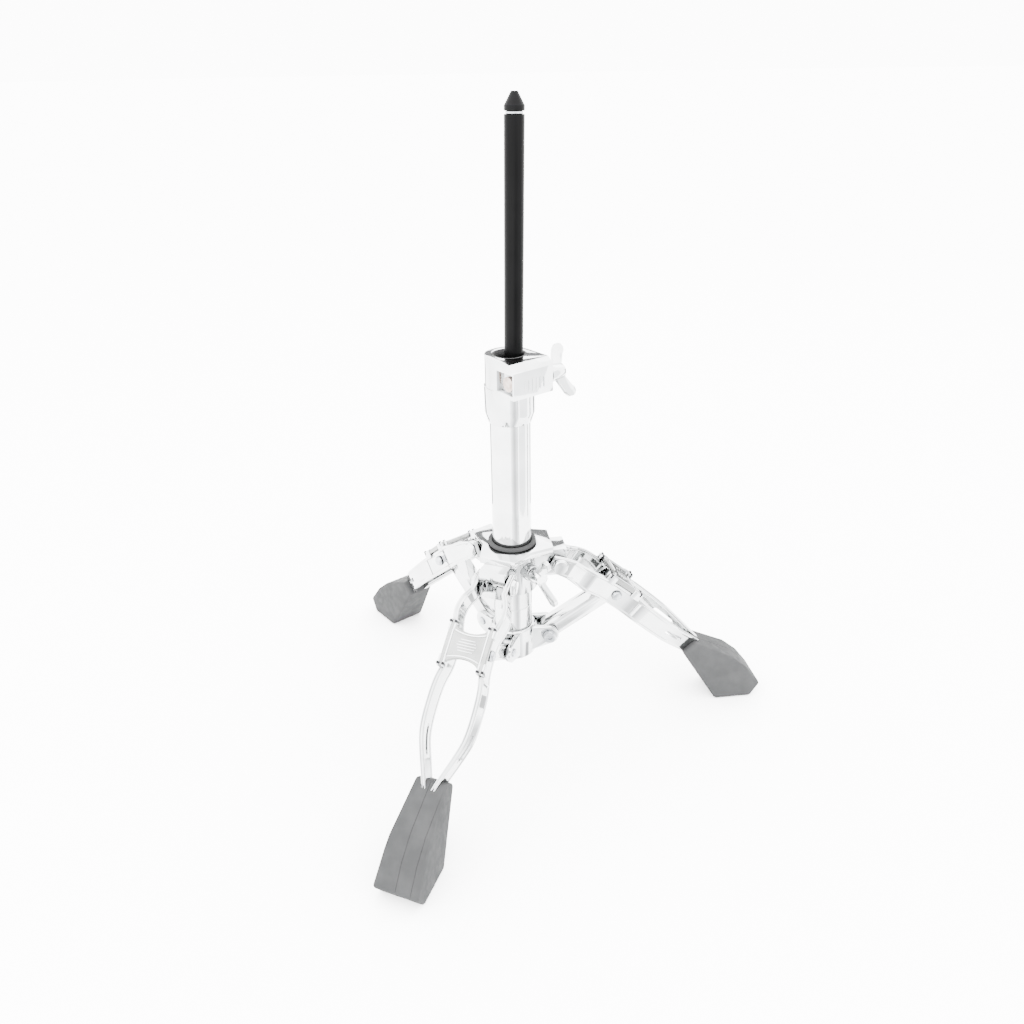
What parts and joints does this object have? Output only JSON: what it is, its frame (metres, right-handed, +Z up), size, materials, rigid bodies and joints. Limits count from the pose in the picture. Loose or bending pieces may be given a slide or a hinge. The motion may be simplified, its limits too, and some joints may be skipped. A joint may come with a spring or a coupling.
{
  "type": "drum hardware stand base",
  "caption": "Folding double-braced tripod base with a clamp-topped tube and a gas-spring cylinder standing in it, for percussion hardware.",
  "frame": {"origin": "on the floor, below the middle of the footprint's box", "axes": "+Z up along the tube, the front leg towards -Y"},
  "size_m": [0.4824, 0.4183, 0.6131],
  "materials": {
    "chrome": "bright polished plating",
    "steel": "zinc-plated, satin",
    "dark_steel": "dark screw heads",
    "copper_bolt": "dull copper-brown",
    "foot_rubber": "matt grey rubber",
    "ring_rubber": "matt grey",
    "nylon": "matt",
    "black_enamel": "semi-gloss black",
    "black_plastic": "satin black"
  },
  "bodies": {
    "column": {"base_tube": "chrome", "clamp_housing": "chrome", "bore_sleeve": "nylon", "draw_bolt": "copper_bolt", "clamp_shoe_inner": "steel", "clamp_shoe_outer": "steel", "lower_hub": "chrome", "brace_screw_front": "steel", "brace_screw_right": "steel", "brace_screw_left": "steel", "tube_plug": "nylon", "piston_rod": "steel", "piston": "nylon"},
    "gas_cylinder": {"gas_cylinder": "black_enamel", "tip_cone": "black_plastic", "neck_ring": "steel", "rod_guide": "steel"},
    "clamp_wing_nut": {"clamp_wing_nut": "chrome"},
    "upper_hub": {"upper_hub": "chrome", "hub_bushing": "ring_rubber", "leg_pin_front": "steel", "leg_pin_right": "steel", "leg_pin_left": "steel"},
    "hub_wing_screw": {"hub_wing_screw": "chrome"},
    "leg_front": {"strap_left_front": "chrome", "strap_right_front": "chrome", "cross_plate_front": "chrome", "foot_front": "foot_rubber", "plate_screw_upper_left_front": "dark_steel", "plate_screw_upper_right_front": "dark_steel", "plate_screw_lower_left_front": "dark_steel", "plate_screw_lower_right_front": "dark_steel", "brace_rivet_left_front": "steel", "brace_rivet_right_front": "steel"},
    "brace_front": {"brace_front": "chrome"},
    "leg_right": {"strap_left_right": "chrome", "strap_right_right": "chrome", "cross_plate_right": "chrome", "foot_right": "foot_rubber", "plate_screw_upper_left_right": "dark_steel", "plate_screw_upper_right_right": "dark_steel", "plate_screw_lower_left_right": "dark_steel", "plate_screw_lower_right_right": "dark_steel", "brace_rivet_left_right": "steel", "brace_rivet_right_right": "steel"},
    "brace_right": {"brace_right": "chrome"},
    "leg_left": {"strap_left_left": "chrome", "strap_right_left": "chrome", "cross_plate_left": "chrome", "foot_left": "foot_rubber", "plate_screw_upper_left_left": "dark_steel", "plate_screw_upper_right_left": "dark_steel", "plate_screw_lower_left_left": "dark_steel", "plate_screw_lower_right_left": "dark_steel", "brace_rivet_left_left": "steel", "brace_rivet_right_left": "steel"},
    "brace_left": {"brace_left": "chrome"}
  },
  "joints": [
    {"name": "upper_hub_slide", "type": "slide", "parent": "column", "child": "upper_hub", "axis": [0, 0, 1], "range_m": [0, 0.06]},
    {"name": "gas_spring_slide", "type": "slide", "parent": "column", "child": "gas_cylinder", "axis": [0.0145, 0.0059, 0.9999], "range_m": [-0.18, 0], "stiffness_N_per_m": 100, "springref_m": 0.3},
    {"name": "clamp_wing_nut_turn", "type": "hinge", "parent": "column", "child": "clamp_wing_nut", "pos_m": [0.03398, 0.06555, 0.38], "axis": [0.5, 0.866, 0], "continuous": true},
    {"name": "hub_wing_screw_turn", "type": "hinge", "parent": "upper_hub", "child": "hub_wing_screw", "pos_m": [0.02901, 0.04094, 0.184], "axis": [0.866, -0.5, 0], "continuous": true},
    {"name": "leg_front_fold", "type": "hinge", "parent": "upper_hub", "child": "leg_front", "pos_m": [0, 0.01269, 0.183], "axis": [1, 0, 0], "range_deg": [0, 40.8]},
    {"name": "brace_front_fold", "type": "hinge", "parent": "column", "child": "brace_front", "pos_m": [0, 0.02269, 0.1], "axis": [-1, 0, 0], "range_deg": [0, 36.1]},
    {"name": "leg_right_fold", "type": "hinge", "parent": "upper_hub", "child": "leg_right", "pos_m": [0.03897, 0.08019, 0.183], "axis": [-0.5, 0.866, 0], "range_deg": [0, 40.8]},
    {"name": "brace_right_fold", "type": "hinge", "parent": "column", "child": "brace_right", "pos_m": [0.03031, 0.07519, 0.1], "axis": [0.5, -0.866, 0], "range_deg": [0, 36.1]},
    {"name": "leg_left_fold", "type": "hinge", "parent": "upper_hub", "child": "leg_left", "pos_m": [-0.03897, 0.08019, 0.183], "axis": [-0.5, -0.866, 0], "range_deg": [0, 40.8]},
    {"name": "brace_left_fold", "type": "hinge", "parent": "column", "child": "brace_left", "pos_m": [-0.03031, 0.07519, 0.1], "axis": [0.5, 0.866, 0], "range_deg": [0, 36.1]}
  ],
  "couplings": [
    {"joint": "leg_front_fold", "follows": "upper_hub_slide", "rad_per_m": 11.84},
    {"joint": "brace_front_fold", "follows": "upper_hub_slide", "rad_per_m": 10.47},
    {"joint": "leg_right_fold", "follows": "upper_hub_slide", "rad_per_m": 11.84},
    {"joint": "brace_right_fold", "follows": "upper_hub_slide", "rad_per_m": 10.47},
    {"joint": "leg_left_fold", "follows": "upper_hub_slide", "rad_per_m": 11.84},
    {"joint": "brace_left_fold", "follows": "upper_hub_slide", "rad_per_m": 10.47}
  ]
}
